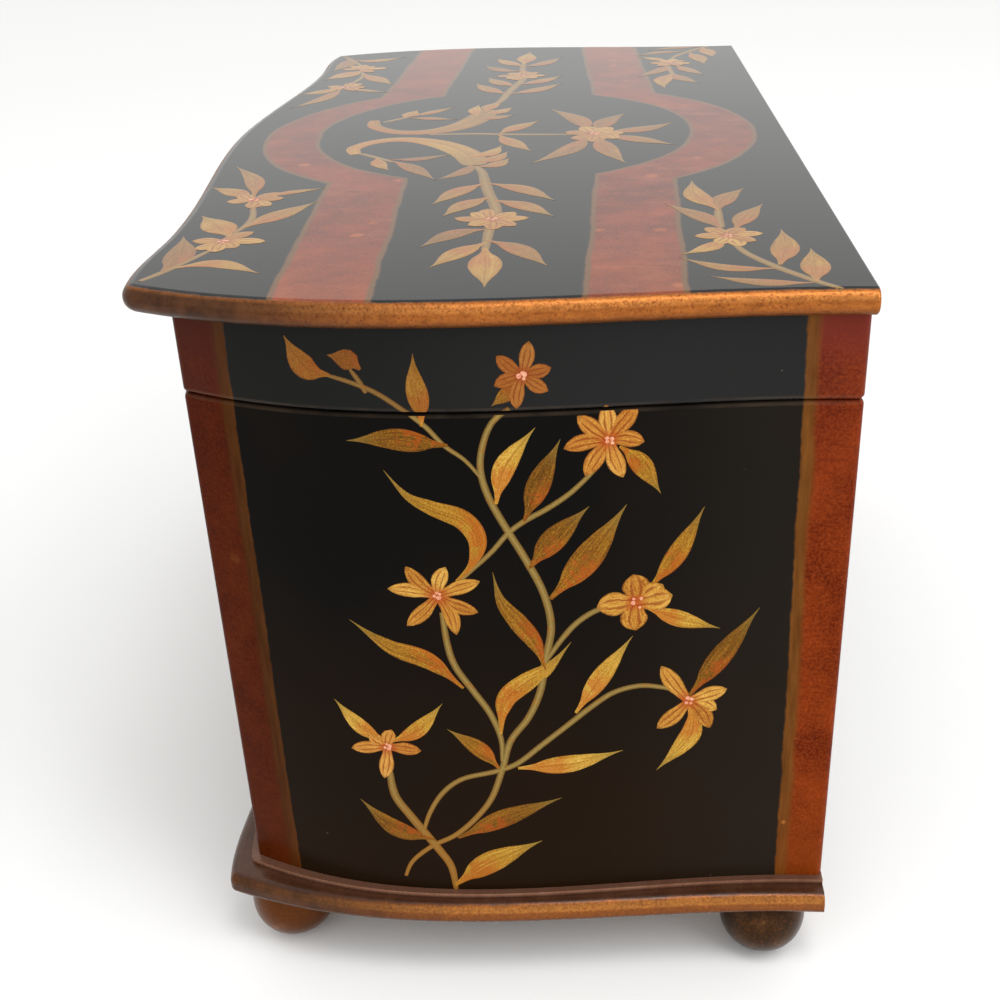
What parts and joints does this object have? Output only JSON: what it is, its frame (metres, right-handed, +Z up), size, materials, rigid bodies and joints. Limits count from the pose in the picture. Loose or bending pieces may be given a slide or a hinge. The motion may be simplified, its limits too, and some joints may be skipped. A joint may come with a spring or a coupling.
{
  "type": "jewelry chest",
  "caption": "Free-standing serpentine-front jewelry chest on bun feet, with a hinged lid, mirror, lined compartment and drawers, in black lacquer with painted vines.",
  "frame": {"origin": "on the surface the chest stands on, under the centre of its bounding box", "axes": "+X along the front towards the right end as seen from the front, -Y towards the user (the drawer side), +Y the hinged back, +Z up"},
  "size_m": [0.4188, 0.2252, 0.2457],
  "materials": {
    "black_lacquer": "gloss black lacquer with painted stripes and vines",
    "gold_paint": "mottled bronze-gold paint, rubbed dark in the hollows",
    "bare_wood": "satin",
    "brass": "satin",
    "mirror_glass": "polished",
    "velvet": "short pile",
    "velvet_covered_wood": "velvet over a thin board",
    "felt": "matt felt"
  },
  "bodies": {
    "carcass": {"back_panel": "black_lacquer", "base_moulding_front": "gold_paint", "base_moulding_left": "gold_paint", "base_moulding_right": "gold_paint", "bottom_board": "bare_wood", "cell_wall_long": "velvet_covered_wood", "cell_wall_ring_bay": "velvet_covered_wood", "cell_walls_cross": "velvet_covered_wood", "compartment_floor": "bare_wood", "compartment_front": "black_lacquer", "compartment_lining": "velvet", "divider_1": "bare_wood", "divider_2": "bare_wood", "end_panel_left": "black_lacquer", "end_panel_right": "black_lacquer", "foot_back_left": "gold_paint", "foot_back_right": "gold_paint", "foot_front_left": "gold_paint", "foot_front_right": "gold_paint", "foot_pads": "felt", "hinge_body_screws": "brass", "hinge_left_body_leaf": "brass", "hinge_pins": "brass", "hinge_right_body_leaf": "brass", "liner_back": "bare_wood", "liner_front": "bare_wood", "liner_left": "bare_wood", "liner_right": "bare_wood", "ring_cushion": "velvet"},
    "lid": {"hinge_left_lid_leaf": "brass", "hinge_lid_screws": "brass", "hinge_right_lid_leaf": "brass", "lid_lining": "velvet", "lid_skirt_back": "black_lacquer", "lid_skirt_front": "black_lacquer", "lid_skirt_left": "black_lacquer", "lid_skirt_right": "black_lacquer", "lid_slab": "black_lacquer", "mirror": "mirror_glass", "mirror_frame": "gold_paint"},
    "drawer_1": {"drawer_1_back": "bare_wood", "drawer_1_bottom": "bare_wood", "drawer_1_front": "black_lacquer", "drawer_1_knobs": "brass", "drawer_1_side_left": "bare_wood", "drawer_1_side_right": "bare_wood"},
    "drawer_2": {"drawer_2_back": "bare_wood", "drawer_2_bottom": "bare_wood", "drawer_2_front": "black_lacquer", "drawer_2_knobs": "brass", "drawer_2_side_left": "bare_wood", "drawer_2_side_right": "bare_wood"},
    "drawer_3": {"drawer_3_back": "bare_wood", "drawer_3_bottom": "bare_wood", "drawer_3_front": "black_lacquer", "drawer_3_knobs": "brass", "drawer_3_side_left": "bare_wood", "drawer_3_side_right": "bare_wood"}
  },
  "joints": [
    {"name": "lid_hinge", "type": "hinge", "parent": "carcass", "child": "lid", "pos_m": [0, 0.1096, 0.2117], "axis": [-1, 0, 0], "range_deg": [0, 100]},
    {"name": "drawer_1_slide", "type": "slide", "parent": "carcass", "child": "drawer_1", "axis": [0, -1, 0], "range_m": [0, 0.125]},
    {"name": "drawer_2_slide", "type": "slide", "parent": "carcass", "child": "drawer_2", "axis": [0, -1, 0], "range_m": [0, 0.125]},
    {"name": "drawer_3_slide", "type": "slide", "parent": "carcass", "child": "drawer_3", "axis": [0, -1, 0], "range_m": [0, 0.125]}
  ]
}
